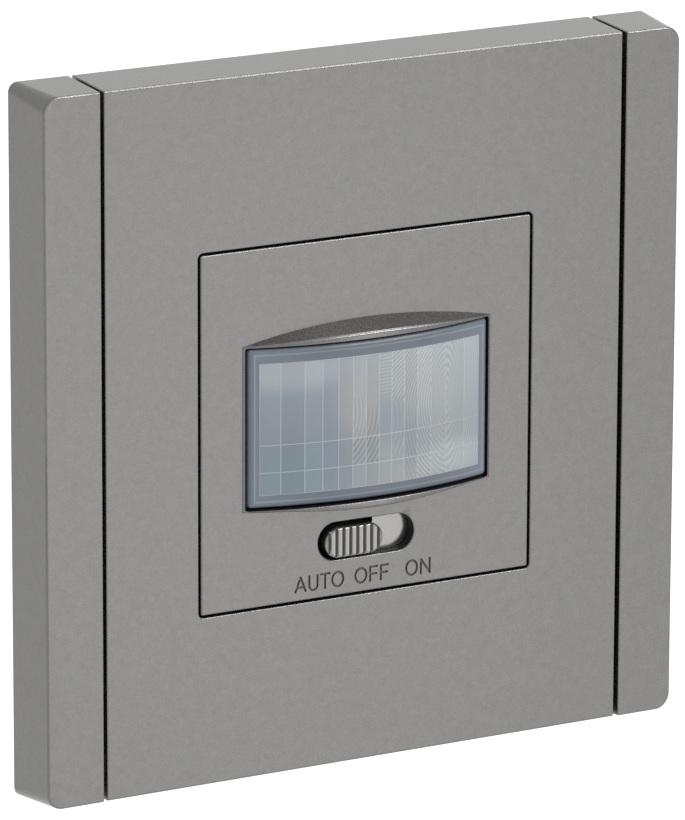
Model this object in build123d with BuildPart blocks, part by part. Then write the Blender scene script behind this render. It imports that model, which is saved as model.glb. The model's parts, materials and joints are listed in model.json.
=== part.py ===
from build123d import *
import os
from math import sqrt

# Motion sensor light switch for an 86 mm wall box.
# The frame: +Z is up, +X is right as seen from the room and +Y goes into the
# wall. The origin is the middle of the plate on the wall plane. A height is
# the distance in front of the wall plane, so it is minus Y, and what lies in
# the wall box has a negative height.

# Wall plate
plate_width = 86.0
plate_height = 86.0
plate_depth = 8.0
plate_flare = 0.4
plate_corner = 2.0
rear_corner = 1.2
plate_wall = 1.8
edge_round = 0.25
fine_round = 0.15
strip_proud = 0.18
strip_width = 7.45
groove_width = 0.5
skirt_wall = 1.2
skirt_lift = 3.4

# Clearances
seam = 0.3
slip = 0.15
turning = 0.08
overrun = 2.0

# Mounting bracket
bracket_side_gap = 0.3
bracket_end_gap = 2.2
bracket_corner = 3.0
bracket_thickness = 1.2
fixing_share = 0.6344
fixing_slot_share = 0.1
fixing_slot_width = 4.0
post_spacing = 48.0
post_inset = 1.3
post_width = 5.0
post_thickness = 1.2
post_rise = 3.2
barb_reach = 1.0
barb_height = 1.0

# Webs of the outer frame, over the bracket
web_width = 5.6
web_inset = 2.4
web_thickness = 1.6

# Snaps between the panel and the strips
snap_length = 6.0
snap_height = 0.9
snap_bite = 0.4
snap_level = 4.0
snap_inset = 18.0

# Sensor insert
insert_width = 44.9
insert_height = 43.9
insert_corner = 0.25
insert_round = 0.2
window_corner = 0.7
cover_wall = 1.3
cover_lift = 2.4
well_wall = 1.0

# Lens opening and hood
cheek_width = 5.85
brow_height = 11.85
chin_height = 12.1
opening_corner = 0.3
hood_side = 0.35
hood_foot = 0.15
hood_bulge = 2.9
hood_round = 0.4
brow_foot_rise = 2.2
brow_foot_end = 0.5
brow_front_rise = 0.8
brow_front_end = -1.3
chin_foot_rise = 1.3
chin_foot_end = 0.4
chin_front_rise = 0.85
chin_front_end = -1.1

# Fresnel lens
lens_gap = 0.28
lens_inset = 0.15
lens_wall = 0.8
lens_corner = 0.5
lens_round = 0.4
flange_reach = 1.0
flange_thickness = 0.8
field_side_border = 1.33
field_end_border = 1.62
field_shift = -0.1
seam_width = 0.12
seam_depth = 0.1
column_shares = [1.73, 1.77, 1.87, 2.01, 2.22, 2.89, 2.5]
row_shares = [10.0, 3.38, 2.77]

# Slider slot and knob
slot_length = 13.1
slot_height = 4.6
slot_inset = 6.75
slot_round = 0.2
knob_length = 7.9
knob_height = 3.8
knob_proud = 0.85
knob_round = 0.35
knob_travel = 4.2
rib_count = 8
rib_pitch = 0.95
rib_groove_width = 0.52
rib_groove_depth = 0.36
apron_length = 5.6
apron_overlap = 0.25
apron_thickness = 1.1
apron_round = 0.4
base_length = 11.0
base_height = 5.2
base_thickness = 1.2
base_level = 3.6
rail_length = 20.0
rail_width = 0.6
rail_level = 3.9
socket_side = 4.4
socket_level = 1.95

# Slide switch on the control board
switch_length = 12.0
switch_height = 4.6
switch_rise = 3.4
lever_side = 1.9
lever_top = 3.4
lever_depth = 0.9
lever_play = 0.2

# Module housing in the wall box
housing_wall = 1.4
housing_rim = 5.0
housing_back = 24.0
collar_reach = 4.0
collar_thickness = 1.0
bracket_play = 0.3
hook_length = 8.0
hook_height = 1.6
hook_reach = 0.9
hook_spacing = 24.0
latch_length = 6.0
latch_height = 0.8
latch_bite = 0.45
latch_level = 3.4
latch_spacing = 20.0
pillar_side = 3.5
boss_radius = 1.6
boss_inset_x = 3.6
boss_inset_z = 5.1

# Boards
board_play = 0.2
board_thickness = 1.6
control_level = -1.6
power_level = -18.0
notch_play = 0.4

# Lens retainer
retainer_wall = 1.0

# Pyroelectric sensor
sensor_side_share = 0.09
sensor_drop_share = 0.086
can_radius = 4.1
can_rise = 3.8
can_wall = 0.3
header_radius = 4.6
header_thickness = 0.8
sensor_window_width = 4.6
sensor_window_height = 3.6
sensor_window_thickness = 0.4
window_seat = 0.4
lead_radius = 0.225
lead_circle = 2.54
lead_drop = 2.6
lead_hole = 0.3

# Light sensor and indicator lamp
lamp_radius = 1.5
lamp_rise = 3.6
lamp_foot = 1.9
lamp_foot_height = 0.9
lamp_inset_x = 4.0
lamp_inset_z = 4.8

# Trimmers
trimmer_side = 6.5
trimmer_rise = 3.0
trimmer_pitch = 11.0
trimmer_inset = 3.6
rotor_radius = 2.3
rotor_seat = 0.8
rotor_rise = 1.5
rotor_round = 0.2
driver_slot_length = 3.6
driver_slot_width = 0.7
driver_slot_depth = 0.7

# Plug connection between the boards
pin_count = 6
pin_pitch = 2.54
pin_side = 0.64
pin_top = -6.0
strip_rise = 2.5
strip_side = 2.5
socket_rise = 8.5
connector_inset_x = 12.4
connector_inset_z = 3.9

# Parts on the power board: each rise, with the shares of the board's width and
# height that its length, height and place take
relay_rise = 12.0
film_rise = 11.0
fuse_rise = 7.6
rectifier_rise = 3.4
relay_shares = (0.465, 0.265, -0.195, 0.265)
film_shares = (0.335, 0.16, 0.245, 0.317)
fuse_shares = (0.216, 0.111, -0.168, -0.04)
rectifier_shares = (0.216, 0.17, -0.26, -0.305)
bulk_shares = (0.103, 0.335, 0.053)
choke_shares = (0.103, 0.09, 0.0)
varistor_shares = (0.116, -0.374, -0.093)
block_round = 0.4
stub_radius = 0.35
bulk_rise = 11.5
choke_rise = 9.0
choke_core_share = 0.65
choke_rim = 1.2
varistor_thickness = 3.8
varistor_lift = 1.2

# Terminals
pole_count = 3
pole_share = 0.2041
pole_end = 1.6
block_height = 11.0
block_depth = 11.4
block_inset = 8.1
mouth_share = 0.625
mouth_height = 6.0
mouth_depth = 8.0
mouth_cap = 0.7
bar_share = 0.55
bar_thickness = 0.8
clamp_length = 6.0
clamp_thickness = 0.8
terminal_head_radius = 2.0
terminal_head_height = 1.6
terminal_recess = 1.0
terminal_shank_radius = 1.3
terminal_setback = 3.5
terminal_slot_width = 0.6
terminal_slot_depth = 0.7


def level(height):
    """Plane along the wall at this height in front of it, facing the room."""
    return Plane.XZ.offset(height)


# Sizes that follow from the driving ones
strip_inner = plate_width / 2 - strip_width
panel_width = 2 * (strip_inner - groove_width)
plate_reach = plate_width / 2 + plate_flare + overrun
plate_inside = plate_height - 2 * plate_wall
strip_depth = plate_depth + strip_proud
cover_under = plate_depth - cover_wall
window_width = insert_width + 2 * seam
window_height = insert_height + 2 * seam
bracket_width = 2 * (strip_inner - bracket_side_gap)
bracket_height = plate_inside - 2 * bracket_end_gap
bracket_edge = bracket_height / 2
post_z = bracket_edge - post_inset
web_z = plate_inside / 2 - web_inset - web_width / 2
snap_spacing = plate_height - 2 * snap_inset
housing_width = insert_width - 2 * (cover_wall + slip)
housing_height = insert_height - 2 * (cover_wall + slip)
bracket_window = housing_width + 2 * bracket_play
bracket_flange = (bracket_width - bracket_window) / 2
fixing_spacing = bracket_window + 2 * fixing_share * bracket_flange
fixing_slot_length = fixing_slot_width + fixing_slot_share * bracket_flange
room_width = housing_width - 2 * housing_wall
room_height = housing_height - 2 * housing_wall
board_width = room_width - 2 * board_play
board_height = room_height - 2 * board_play
floor_level = housing_wall - housing_back
pillar_x = (room_width - pillar_side) / 2
pillar_z = (room_height - pillar_side) / 2
control_back = control_level - board_thickness
power_back = power_level - board_thickness
knob_rest = -knob_travel / 2
knob_top = plate_depth + knob_proud
slot_z = slot_inset - insert_height / 2
opening_width = insert_width - 2 * cheek_width
opening_height = insert_height - brow_height - chin_height
opening_rise = (chin_height - brow_height) / 2


def barrel_radius(half_width, bulge):
    """Radius of the arc that rises by bulge over this half width."""
    return (half_width**2 + bulge**2) / (2 * bulge)


hood_half = opening_width / 2 + hood_side
hood_top = plate_depth + hood_foot + hood_bulge
hood_radius = barrel_radius(hood_half, hood_bulge)
barrel_y = hood_radius - hood_top
lens_radius = hood_radius - lens_inset
lens_width = opening_width - 2 * lens_gap
lens_height = opening_height - 2 * lens_gap
lens_back = cover_under - flange_thickness
flange_width = opening_width + 2 * flange_reach
flange_height = opening_height + 2 * flange_reach
field_width = lens_width - 2 * field_side_border
field_height = lens_height - 2 * field_end_border
field_rise = opening_rise + field_shift
chamber_width = flange_width - 2 * retainer_wall
chamber_height = flange_height - 2 * retainer_wall
sensor_x = sensor_side_share * opening_width
sensor_z = opening_rise - sensor_drop_share * opening_height
lamp_offset = chamber_width / 2 - lamp_inset_x
lamp_z = opening_rise - chamber_height / 2 + lamp_inset_z
trimmer_z = board_height / 2 - trimmer_inset
connector_x = board_width / 2 - connector_inset_x
connector_z = connector_inset_z - board_height / 2
boss_spacing_x = room_width - 2 * boss_inset_x
boss_spacing_z = room_height - 2 * boss_inset_z
block_drop = room_height / 2 - block_inset
pole_pitch = pole_share * room_width
block_width = pole_count * pole_pitch + pole_end
mouth_width = mouth_share * pole_pitch
bar_width = bar_share * pole_pitch


def lens_front(x):
    """Height of the lens surface at this place across it."""
    return sqrt(lens_radius**2 - x**2) - barrel_y


pieces = {}

# Plate blanks: flared slabs that the panel and the prouder strips are cut from
plate_blanks = []
for front_level in (plate_depth, strip_depth):
    with BuildPart() as plate_blank:
        with BuildSketch(level(0)):
            RectangleRounded(
                plate_width + 2 * plate_flare,
                plate_height + 2 * plate_flare,
                rear_corner,
            )
        with BuildSketch(level(front_level)):
            RectangleRounded(plate_width, plate_height, plate_corner)
        loft(ruled=True)
        fillet(plate_blank.edges().group_by(Axis.Y)[0], edge_round)
    plate_blanks.append(plate_blank.part)

# Outer frame: two visible side strips and the hidden webs that join them
with BuildPart() as outer_frame:
    add(plate_blanks[1])
    with BuildSketch(level(0)):
        for side in (-1, 1):
            with Locations((side * (strip_inner + plate_reach) / 2, 0)):
                Rectangle(plate_reach - strip_inner, 2 * plate_reach)
    extrude(amount=strip_depth, mode=Mode.INTERSECT)
    inner_edges = outer_frame.edges().group_by(Axis.Y)[0].filter_by(Axis.Z)
    inner_edges = inner_edges.filter_by_position(Axis.X, -strip_inner - slip, strip_inner + slip)
    fillet(inner_edges, fine_round)
    strip_room = strip_width - plate_wall - skirt_wall
    with BuildSketch(level(0)):
        for side in (-1, 1):
            with Locations((side * (strip_inner + skirt_wall + strip_room / 2), 0)):
                Rectangle(strip_room, plate_inside)
    extrude(amount=strip_depth - plate_wall, mode=Mode.SUBTRACT)
    with BuildSketch(level(bracket_thickness)):
        with GridLocations(0, 2 * web_z, 1, 2):
            Rectangle(2 * (strip_inner + skirt_wall), web_width)
        with GridLocations(post_spacing, 2 * post_z, 2, 2):
            Rectangle(
                post_width + 2 * seam,
                post_thickness + 2 * seam,
                mode=Mode.SUBTRACT,
            )
    extrude(amount=web_thickness)
    with BuildSketch(level(snap_level - slip)):
        with GridLocations(2 * strip_inner, snap_spacing, 2, 2):
            Rectangle(2 * (snap_bite + slip), snap_length + 2 * slip)
    extrude(amount=snap_height + 2 * slip, mode=Mode.SUBTRACT)
pieces["outer_frame"] = outer_frame

# Centre panel: the wide cover with the square window
with BuildPart() as centre_panel:
    add(plate_blanks[0])
    with BuildSketch(level(0)):
        Rectangle(panel_width, 2 * plate_reach)
    extrude(amount=plate_depth, mode=Mode.INTERSECT)
    fillet(centre_panel.edges().group_by(Axis.Y)[0].filter_by(Axis.Z), fine_round)
    with BuildSketch(level(0)):
        Rectangle(panel_width - 2 * skirt_wall, plate_inside)
    extrude(amount=plate_depth - plate_wall, mode=Mode.SUBTRACT)
    with BuildSketch(level(0)):
        Rectangle(panel_width + overrun, plate_inside)
    extrude(amount=skirt_lift, mode=Mode.SUBTRACT)
    with BuildSketch(level(cover_lift)):
        Rectangle(window_width + 2 * well_wall, window_height + 2 * well_wall)
    extrude(amount=plate_depth - plate_wall - cover_lift)
    with BuildSketch(level(0)):
        RectangleRounded(window_width, window_height, window_corner)
    extrude(amount=plate_depth, mode=Mode.SUBTRACT)
    window_edges = centre_panel.edges().group_by(Axis.Y)[0]
    window_edges = window_edges.filter_by_position(Axis.X, -window_width / 2, window_width / 2)
    window_edges = window_edges.filter_by_position(Axis.Z, -window_height / 2, window_height / 2)
    fillet(window_edges, fine_round)
    with BuildSketch(level(snap_level)):
        for side in (-1, 1):
            snap_inner = panel_width / 2 - skirt_wall
            snap_outer = strip_inner + snap_bite
            with Locations(
                (side * (snap_inner + snap_outer) / 2, snap_spacing / 2),
                (side * (snap_inner + snap_outer) / 2, -snap_spacing / 2),
            ):
                Rectangle(snap_outer - snap_inner, snap_length)
    extrude(amount=snap_height)
pieces["centre_panel"] = centre_panel

# Mounting bracket: steel plate that is screwed to the wall box
with BuildPart() as mounting_bracket:
    with BuildSketch(level(0)):
        RectangleRounded(bracket_width, bracket_height, bracket_corner)
        Rectangle(bracket_window, housing_height + 2 * bracket_play, mode=Mode.SUBTRACT)
        with GridLocations(fixing_spacing, 0, 2, 1):
            SlotOverall(fixing_slot_length, fixing_slot_width, mode=Mode.SUBTRACT)
    extrude(amount=bracket_thickness)
    with BuildSketch(level(bracket_thickness)):
        with GridLocations(post_spacing, 2 * post_z, 2, 2):
            Rectangle(post_width, post_thickness)
    extrude(amount=post_rise)
    with BuildSketch(level(bracket_thickness + web_thickness + slip)):
        for side in (-1, 1):
            barb_z = side * (post_z - (post_thickness + barb_reach) / 2)
            with GridLocations(post_spacing, 0, 2, 1):
                with Locations((0, barb_z)):
                    Rectangle(post_width, barb_reach)
    extrude(amount=barb_height)
pieces["mounting_bracket"] = mounting_bracket

# Hood blank: arched foot and a lower arched front, rounded off by the barrel
with BuildPart() as hood_blank:
    for height, brow_rise, brow_end, chin_rise, chin_end in (
        (plate_depth - cover_wall / 2, brow_foot_rise, brow_foot_end, chin_foot_rise, chin_foot_end),
        (hood_top, brow_front_rise, brow_front_end, chin_front_rise, chin_front_end),
    ):
        brow_z = opening_height / 2 + brow_end
        chin_z = -opening_height / 2 - chin_end
        brow_top = opening_height / 2 + brow_rise
        chin_low = -opening_height / 2 - chin_rise
        with BuildSketch(level(height)):
            with BuildLine():
                Line((-hood_half, brow_z), (-hood_half, chin_z))
                ThreePointArc((-hood_half, chin_z), (0, chin_low), (hood_half, chin_z))
                Line((hood_half, chin_z), (hood_half, brow_z))
                ThreePointArc((hood_half, brow_z), (0, brow_top), (-hood_half, brow_z))
            make_face()
    loft(ruled=True)
    with BuildSketch(Plane.XY.offset(-hood_half)):
        with Locations((0, barrel_y)):
            Circle(hood_radius)
    extrude(amount=2 * hood_half, mode=Mode.INTERSECT)
    brow_edges = hood_blank.faces().filter_by(GeomType.CYLINDER).sort_by(Axis.Y)[0].edges()
    fillet(brow_edges.filter_by(Axis.Z, reverse=True), hood_round)

# Sensor cover: square insert with the hood, the lens opening and the slot
with BuildPart() as sensor_cover:
    with BuildSketch(level(cover_lift)):
        RectangleRounded(insert_width, insert_height, insert_corner)
    extrude(amount=plate_depth - cover_lift)
    fillet(sensor_cover.edges().group_by(Axis.Y)[0], insert_round)
    with BuildSketch(level(cover_lift)):
        Rectangle(insert_width - 2 * cover_wall, insert_height - 2 * cover_wall)
    extrude(amount=cover_under - cover_lift, mode=Mode.SUBTRACT)
    with Locations(Location((0, 0, opening_rise))):
        add(hood_blank.part)
    with BuildSketch(level(rail_level)):
        for side in (-1, 1):
            with Locations((0, slot_z + side * (base_height / 2 + seam + rail_width / 2))):
                Rectangle(rail_length, rail_width)
    extrude(amount=cover_under - rail_level)
    with BuildSketch(level(latch_level)):
        for side in (-1, 1):
            latch_x = side * (housing_width / 2 + slip - latch_bite / 2)
            with Locations((latch_x, latch_spacing / 2), (latch_x, -latch_spacing / 2)):
                Rectangle(latch_bite, latch_length)
    extrude(amount=latch_height)
    with BuildSketch(level(cover_under)):
        with Locations((0, opening_rise)):
            RectangleRounded(opening_width, opening_height, opening_corner)
        with Locations((0, slot_z)):
            SlotOverall(slot_length, slot_height)
    extrude(amount=hood_top, mode=Mode.SUBTRACT)
    slot_edges = sensor_cover.edges().filter_by_position(Axis.Y, -plate_depth - slip, -plate_depth + slip)
    slot_edges = slot_edges.filter_by_position(Axis.X, -slot_length / 2 - slip, slot_length / 2 + slip)
    slot_edges = slot_edges.filter_by_position(Axis.Z, slot_z - slot_height, slot_z + slot_height / 2 + slip)
    fillet(slot_edges, slot_round)
pieces["sensor_cover"] = sensor_cover

# Lens core: the space behind the lens
with BuildPart() as lens_core:
    with BuildSketch(level(lens_back)):
        with Locations((0, opening_rise)):
            Rectangle(lens_width - 2 * lens_wall, lens_height - 2 * lens_wall)
    extrude(amount=hood_top)
    with BuildSketch(Plane.XY.offset(-hood_half)):
        with Locations((0, barrel_y)):
            Circle(lens_radius - lens_wall)
    extrude(amount=2 * hood_half, mode=Mode.INTERSECT)

# Fresnel lens: a bulging shell with segment seams and a flange behind the cover
with BuildPart() as fresnel_lens:
    with BuildSketch(level(lens_back)):
        with Locations((0, opening_rise)):
            RectangleRounded(lens_width, lens_height, lens_corner)
    extrude(amount=hood_top)
    with BuildSketch(Plane.XY.offset(-hood_half)):
        with Locations((0, barrel_y)):
            Circle(lens_radius)
    extrude(amount=2 * hood_half, mode=Mode.INTERSECT)
    rim_edges = fresnel_lens.faces().filter_by(GeomType.CYLINDER).sort_by(Axis.Y)[0].edges()
    fillet(rim_edges, lens_round)
    with BuildSketch(level(lens_back)):
        with Locations((0, opening_rise)):
            Rectangle(flange_width, flange_height)
    extrude(amount=flange_thickness)
    add(lens_core.part, mode=Mode.SUBTRACT)
    column_edges = [0]
    for share in column_shares:
        column_edges.append(column_edges[-1] + share * field_width / 2 / sum(column_shares))
    for edge in column_edges:
        with BuildSketch(level(lens_front(edge) - seam_depth)):
            with Locations((edge, field_rise), (-edge, field_rise)):
                Rectangle(seam_width, field_height)
        extrude(amount=hood_top, mode=Mode.SUBTRACT)
    row_edges = [field_rise + field_height / 2]
    for share in row_shares:
        row_edges.append(row_edges[-1] - share * field_height / sum(row_shares))
    for edge in row_edges:
        with BuildSketch(Plane.XY.offset(edge - seam_width / 2)):
            with Locations((0, barrel_y)):
                Circle(lens_radius + lens_inset)
                Circle(lens_radius - seam_depth, mode=Mode.SUBTRACT)
            Rectangle(field_width, 2 * hood_top, mode=Mode.INTERSECT)
        extrude(amount=seam_width, mode=Mode.SUBTRACT)
pieces["fresnel_lens"] = fresnel_lens

# Lens retainer: white chamber from the board to the flange of the lens
with BuildPart() as lens_retainer:
    with BuildSketch(level(control_level)):
        with Locations((0, opening_rise)):
            Rectangle(flange_width, flange_height)
            Rectangle(chamber_width, chamber_height, mode=Mode.SUBTRACT)
    extrude(amount=lens_back - control_level)
pieces["lens_retainer"] = lens_retainer

# Mode knob: ribbed grip, apron to its right, base and socket for the lever
with BuildPart() as mode_knob:
    with BuildSketch(level(base_level + base_thickness)):
        with Locations((knob_rest, slot_z)):
            SlotOverall(knob_length, knob_height)
    extrude(amount=knob_top - base_level - base_thickness)
    fillet(mode_knob.edges().group_by(Axis.Y)[0], knob_round)
    with BuildSketch(Plane.XY.offset(slot_z - knob_height)):
        with Locations((knob_rest, -knob_top)):
            with GridLocations(rib_pitch, 0, rib_count, 1):
                Polygon(
                    (-rib_groove_width / 2, -overrun / 2),
                    (rib_groove_width / 2, -overrun / 2),
                    (rib_groove_width / 2, 0),
                    (0, rib_groove_depth),
                    (-rib_groove_width / 2, 0),
                    align=None,
                )
    extrude(amount=2 * knob_height, mode=Mode.SUBTRACT)
    with BuildSketch(level(base_level)):
        with Locations((knob_rest, slot_z)):
            Rectangle(base_length, base_height)
    extrude(amount=base_thickness)
    apron_top = cover_under - slip
    apron_left = knob_rest + knob_length / 2 - apron_overlap
    apron_right = knob_rest + knob_length / 2 + apron_length
    with BuildSketch(Plane.XY.offset(slot_z - base_height / 2)):
        with BuildLine():
            Polyline(
                (apron_right, -apron_top + apron_round),
                (apron_right, -apron_top + apron_thickness),
                (apron_left, -apron_top + apron_thickness),
                (apron_left, -apron_top),
                (apron_right - apron_round, -apron_top),
            )
            RadiusArc(
                (apron_right - apron_round, -apron_top),
                (apron_right, -apron_top + apron_round),
                -apron_round,
            )
        make_face()
    extrude(amount=base_height)
    with BuildSketch(level(socket_level)):
        with Locations((knob_rest, slot_z)):
            Rectangle(socket_side, socket_side)
    extrude(amount=base_level - socket_level)
    with BuildSketch(level(socket_level)):
        with Locations((knob_rest, slot_z)):
            Rectangle(lever_side + 2 * lever_play, lever_side + 2 * lever_play)
    extrude(amount=lever_top + lever_play - socket_level, mode=Mode.SUBTRACT)
pieces["mode_knob"] = mode_knob

# Slide switch body on the control board, with the slot for its lever
with BuildPart() as switch_body:
    with BuildSketch(level(control_level)):
        with Locations((0, slot_z)):
            Rectangle(switch_length, switch_height)
    extrude(amount=switch_rise)
    with BuildSketch(level(lever_depth)):
        with Locations((0, slot_z)):
            Rectangle(lever_side + knob_travel + 2 * lever_play, lever_side + 2 * lever_play)
    extrude(amount=switch_rise, mode=Mode.SUBTRACT)
pieces["switch_body"] = switch_body

# Lever of the slide switch
with BuildPart() as switch_lever:
    with BuildSketch(level(lever_depth)):
        with Locations((knob_rest, slot_z)):
            Rectangle(lever_side, lever_side)
    extrude(amount=lever_top - lever_depth)
    fillet(switch_lever.edges().group_by(Axis.Y)[0], lever_play)
pieces["switch_lever"] = switch_lever

# Module housing: tub in the wall box, with a collar on the bracket
with BuildPart() as module_housing:
    with BuildSketch(level(-housing_back)):
        Rectangle(housing_width, housing_height)
    extrude(amount=housing_back + housing_rim)
    with BuildSketch(level(bracket_thickness)):
        Rectangle(housing_width + 2 * collar_reach, housing_height + 2 * collar_reach)
    extrude(amount=collar_thickness)
    with BuildSketch(level(floor_level)):
        Rectangle(room_width, room_height)
    extrude(amount=housing_rim - floor_level, mode=Mode.SUBTRACT)
    with BuildSketch(level(floor_level)):
        with GridLocations(2 * pillar_x, 2 * pillar_z, 2, 2):
            Rectangle(pillar_side, pillar_side)
    extrude(amount=control_back - floor_level)
    with BuildSketch(level(floor_level)):
        with GridLocations(boss_spacing_x, boss_spacing_z, 2, 2):
            Circle(boss_radius)
    extrude(amount=power_back - floor_level)
    with BuildSketch(level(-housing_back)):
        with Locations((0, -block_drop)):
            Rectangle(block_width + 2 * slip, block_height + 2 * slip)
    extrude(amount=housing_wall, mode=Mode.SUBTRACT)
    with BuildSketch(Plane.XY.offset(-hook_length / 2)):
        for side in (-1, 1):
            with Locations((side * housing_width / 2, 0)):
                Polygon(
                    (0, 0),
                    (side * hook_reach, 0),
                    (0, hook_height),
                    align=None,
                )
    hooks = extrude(amount=hook_length, mode=Mode.PRIVATE)
    with Locations((0, 0, hook_spacing / 2), (0, 0, -hook_spacing / 2)):
        add(hooks)
    with BuildSketch(level(latch_level - slip)):
        for side in (-1, 1):
            recess_x = side * (housing_width / 2 - latch_bite / 2)
            with Locations((recess_x, latch_spacing / 2), (recess_x, -latch_spacing / 2)):
                Rectangle(latch_bite, latch_length + 2 * slip)
    extrude(amount=latch_height + 2 * slip, mode=Mode.SUBTRACT)
pieces["module_housing"] = module_housing

# Control board behind the lens
with BuildPart() as control_board:
    with BuildSketch(level(control_back)):
        Rectangle(board_width, board_height)
        with Locations((sensor_x, sensor_z)):
            with PolarLocations(lead_circle, 3):
                Circle(lead_hole, mode=Mode.SUBTRACT)
    extrude(amount=board_thickness)
pieces["control_board"] = control_board

# Pyroelectric sensor: header with leads, can and filter window
with BuildPart() as sensor_header:
    with BuildSketch(level(control_level)):
        with Locations((sensor_x, sensor_z)):
            Circle(header_radius)
    extrude(amount=header_thickness)
    with BuildSketch(level(control_level - lead_drop)):
        with Locations((sensor_x, sensor_z)):
            with PolarLocations(lead_circle, 3):
                Circle(lead_radius)
    extrude(amount=lead_drop)
pieces["sensor_header"] = sensor_header

can_level = control_level + header_thickness
with BuildPart() as sensor_can:
    with BuildSketch(level(can_level)):
        with Locations((sensor_x, sensor_z)):
            Circle(can_radius)
    extrude(amount=can_rise)
    fillet(sensor_can.edges().group_by(Axis.Y)[0], can_wall)
    with BuildSketch(level(can_level)):
        with Locations((sensor_x, sensor_z)):
            Circle(can_radius - can_wall)
    extrude(amount=can_rise - can_wall, mode=Mode.SUBTRACT)
    with BuildSketch(level(can_level)):
        with Locations((sensor_x, sensor_z)):
            Rectangle(sensor_window_width, sensor_window_height)
    extrude(amount=can_rise, mode=Mode.SUBTRACT)
pieces["sensor_can"] = sensor_can

with BuildPart() as sensor_window:
    with BuildSketch(level(can_level + can_rise - can_wall - sensor_window_thickness)):
        with Locations((sensor_x, sensor_z)):
            Rectangle(
                sensor_window_width + 2 * window_seat,
                sensor_window_height + 2 * window_seat,
            )
    extrude(amount=sensor_window_thickness)
pieces["sensor_window"] = sensor_window

# Light sensor and indicator lamp: two small domes on the control board
for name, side in (("light_sensor", -1), ("indicator_lamp", 1)):
    with BuildPart() as lamp:
        with BuildSketch(level(control_level)):
            with Locations((side * lamp_offset, lamp_z)):
                Circle(lamp_foot)
        extrude(amount=lamp_foot_height)
        with BuildSketch(level(control_level)):
            with Locations((side * lamp_offset, lamp_z)):
                Circle(lamp_radius)
        extrude(amount=lamp_rise - lamp_radius)
        with Locations((side * lamp_offset, -control_level - lamp_rise + lamp_radius, lamp_z)):
            Sphere(lamp_radius)
    pieces[name] = lamp

# Trimmers for time, light level and range, behind the blank part of the cover
trimmer_top = control_level + trimmer_rise
rotor_level = trimmer_top - rotor_seat
trimmer_names = ("time_rotor", "light_rotor", "range_rotor")
with BuildPart() as trimmer_bodies:
    with BuildSketch(level(control_level)):
        with Locations((0, trimmer_z)):
            with GridLocations(trimmer_pitch, 0, len(trimmer_names), 1):
                Rectangle(trimmer_side, trimmer_side)
    extrude(amount=trimmer_rise)
    with BuildSketch(level(rotor_level)):
        with Locations((0, trimmer_z)):
            with GridLocations(trimmer_pitch, 0, len(trimmer_names), 1):
                Circle(rotor_radius + turning)
    extrude(amount=trimmer_rise, mode=Mode.SUBTRACT)
pieces["trimmer_bodies"] = trimmer_bodies

for index, name in enumerate(trimmer_names):
    rotor_x = (index - (len(trimmer_names) - 1) / 2) * trimmer_pitch
    with BuildPart() as rotor:
        with BuildSketch(level(rotor_level)):
            with Locations((rotor_x, trimmer_z)):
                Circle(rotor_radius)
        extrude(amount=rotor_seat + rotor_rise)
        fillet(rotor.edges().group_by(Axis.Y)[0], rotor_round)
        with BuildSketch(level(trimmer_top + rotor_rise)):
            with Locations((rotor_x, trimmer_z)):
                Rectangle(driver_slot_length, driver_slot_width)
                Rectangle(driver_slot_width, driver_slot_length)
        extrude(amount=-driver_slot_depth, mode=Mode.SUBTRACT)
    pieces[name] = rotor

# Power board with notches for the pillars of the housing
with BuildPart() as power_board:
    with BuildSketch(level(power_back)):
        Rectangle(board_width, board_height)
        with GridLocations(2 * pillar_x, 2 * pillar_z, 2, 2):
            Rectangle(
                pillar_side + 2 * notch_play,
                pillar_side + 2 * notch_play,
                mode=Mode.SUBTRACT,
            )
    extrude(amount=board_thickness)
pieces["power_board"] = power_board

# Plug connection: pins on the power board, socket on the control board
with BuildPart() as board_pins:
    with BuildSketch(level(power_level)):
        with Locations((connector_x, connector_z)):
            Rectangle(pin_count * pin_pitch, strip_side)
    extrude(amount=strip_rise)
    with BuildSketch(level(power_level)):
        with Locations((connector_x, connector_z)):
            with GridLocations(pin_pitch, 0, pin_count, 1):
                Rectangle(pin_side, pin_side)
    extrude(amount=pin_top - power_level)
pieces["board_pins"] = board_pins

with BuildPart() as board_socket:
    with BuildSketch(level(control_back)):
        with Locations((connector_x, connector_z)):
            Rectangle(pin_count * pin_pitch, strip_side)
    extrude(amount=-socket_rise)
    with BuildSketch(level(control_back - socket_rise)):
        with Locations((connector_x, connector_z)):
            with GridLocations(pin_pitch, 0, pin_count, 1):
                Rectangle(pin_side + 2 * turning, pin_side + 2 * turning)
    extrude(amount=pin_top + slip - control_back + socket_rise, mode=Mode.SUBTRACT)
pieces["board_socket"] = board_socket

# Box-shaped parts on the power board
boxes = {
    "relay": (relay_rise, relay_shares),
    "film_capacitor": (film_rise, film_shares),
    "fuse": (fuse_rise, fuse_shares),
    "rectifier": (rectifier_rise, rectifier_shares),
}
for name, (rise, (length, height, x, z)) in boxes.items():
    with BuildPart() as box_part:
        with BuildSketch(level(power_level)):
            with Locations((x * board_width, z * board_height)):
                Rectangle(length * board_width, height * board_height)
        extrude(amount=rise)
        fillet(box_part.edges().filter_by(Axis.Y) + box_part.edges().group_by(Axis.Y)[0], block_round)
    pieces[name] = box_part


def round_part(shares):
    """Radius and place of a round part, from its shares of the power board."""
    radius, x, z = shares
    return radius * board_width, (x * board_width, z * board_height)


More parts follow.
